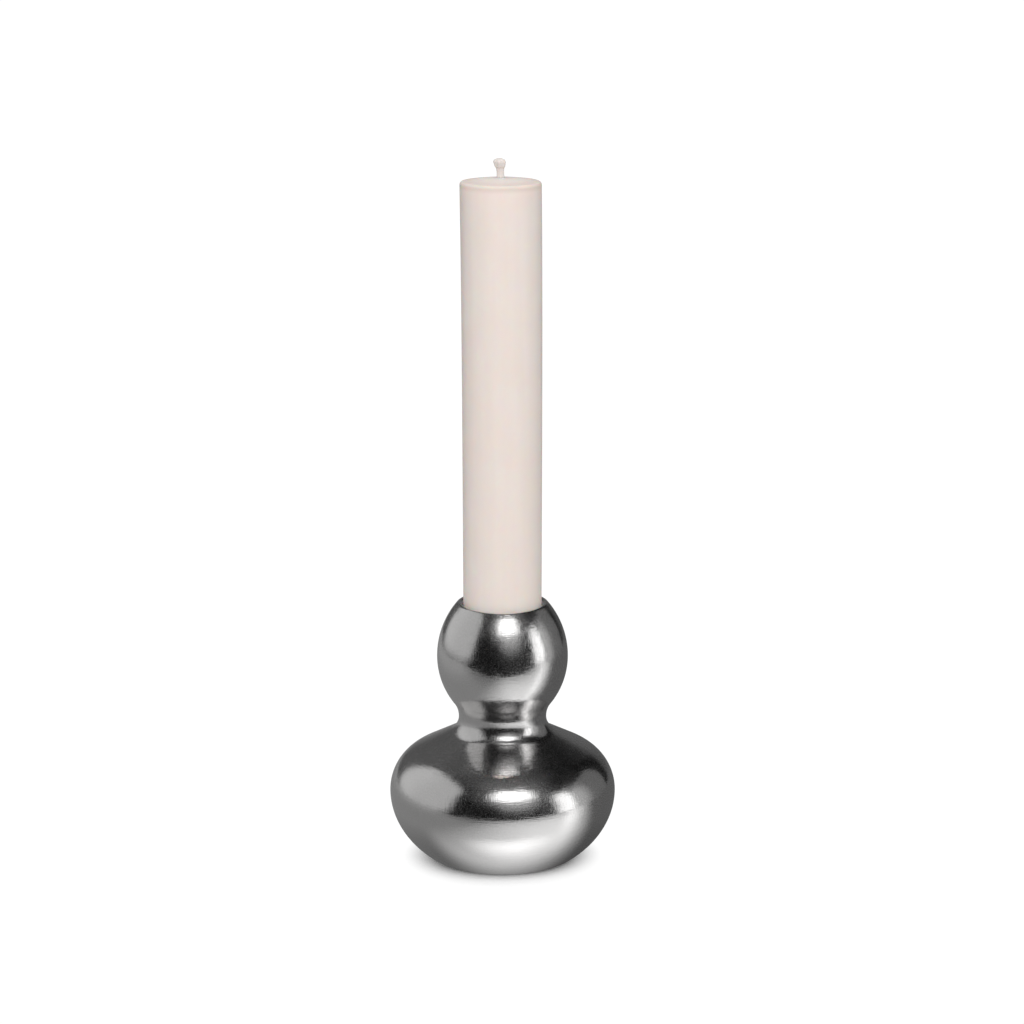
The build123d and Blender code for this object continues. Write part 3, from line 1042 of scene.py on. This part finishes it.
class SetStudio(bpy.types.Operator):
    """Set up the table, the lights and the camera"""

    bl_idname = "candlestick.set_studio"
    bl_label = "Set Studio"

    def execute(self, context):
        t = studio()
        self.lay_table(t)
        self.hang_key(t)
        self.place_camera(t)
        build_world()
        context.scene.view_settings.view_transform = "Standard"
        context.scene.view_settings.look = "None"
        return {"FINISHED"}

    def lay_table(self, t):
        """A flat table, drawn as one face."""
        deselect_all()
        bpy.ops.mesh.primitive_plane_add(size=1, location=(0, 0, 0))
        table = bpy.context.object
        table.name = "table"
        bpy.ops.object.mode_set(mode="EDIT")
        bpy.ops.transform.resize(value=(2 * t.table_side, t.table_front + t.table_back, 1))
        bpy.ops.transform.translate(value=(0, (t.table_back - t.table_front) / 2, 0))
        bpy.ops.object.mode_set(mode="OBJECT")
        table.data.materials.append(table_material())

    def hang_key(self, t):
        """One large soft light, high in front, which the polished metal doesn't mirror."""
        light = bpy.data.lights.new("key", "AREA")
        light.shape = "RECTANGLE"
        light.size, light.size_y = KEY_SIZE
        light.energy = t.key_power
        key = bpy.data.objects.new("key", light)
        bpy.context.scene.collection.objects.link(key)
        ahead = look(*KEY_DIRECTION)
        key.location = ahead * KEY_DISTANCE + Vector((0, 0, KEY_AIM))
        key.rotation_euler = ahead.to_track_quat("Z", "Y").to_euler()
        key.visible_glossy = False
        key.visible_camera = False

    def place_camera(self, t):
        """A camera in front of the holder, a little above it and looking down."""
        lens = bpy.data.cameras.new("camera")
        lens.lens = t.camera_lens
        lens.sensor_width = 36.0
        lens.clip_end = 50.0
        camera = bpy.data.objects.new("camera", lens)
        bpy.context.scene.collection.objects.link(camera)
        camera.location = (t.camera_side, -t.camera_distance, t.camera_height)
        camera.rotation_euler = (math.pi / 2 - t.camera_tilt, 0, 0)
        bpy.context.scene.camera = camera


# ---- Panel, registration and main ---------------------------------------------------------

OPERATORS = (
    SpinLowerBulb,
    SpinUpperBall,
    TurnSocketCup,
    CutFeltPad,
    CastCandle,
    BraidWick,
    CutTieBolt,
    FinishInnerPieces,
    SetStudio,
)


class CandlestickPanel(bpy.types.Panel):
    """Lists the steps that build the candlestick"""

    bl_idname = "VIEW3D_PT_candlestick"
    bl_label = "Candlestick"
    bl_space_type = "VIEW_3D"
    bl_region_type = "UI"
    bl_category = "Candlestick"

    def draw(self, context):
        column = self.layout.column(align=True)
        for step in OPERATORS:
            column.operator(step.bl_idname)


CLASSES = (CandlestickSizes, CandlestickFinish, CandlestickStudio) + OPERATORS + (CandlestickPanel,)


def register():
    """Register the classes and hang their settings on the scene."""
    for item in CLASSES:
        bpy.utils.register_class(item)
    bpy.types.Scene.candlestick_sizes = PointerProperty(type=CandlestickSizes)
    bpy.types.Scene.candlestick_finish = PointerProperty(type=CandlestickFinish)
    bpy.types.Scene.candlestick_studio = PointerProperty(type=CandlestickStudio)


def unregister():
    """Undo what register did."""
    del bpy.types.Scene.candlestick_studio
    del bpy.types.Scene.candlestick_finish
    del bpy.types.Scene.candlestick_sizes
    for item in reversed(CLASSES):
        bpy.utils.unregister_class(item)


def main():
    """Build every piece and the studio."""
    register()
    bpy.ops.candlestick.spin_lower_bulb()
    bpy.ops.candlestick.spin_upper_ball()
    bpy.ops.candlestick.turn_socket_cup()
    bpy.ops.candlestick.cut_felt_pad()
    bpy.ops.candlestick.cast_candle()
    bpy.ops.candlestick.braid_wick()
    bpy.ops.candlestick.cut_tie_bolt()
    bpy.ops.candlestick.finish_inner_pieces()
    bpy.ops.candlestick.set_studio()


if __name__ == "__main__":
    main()
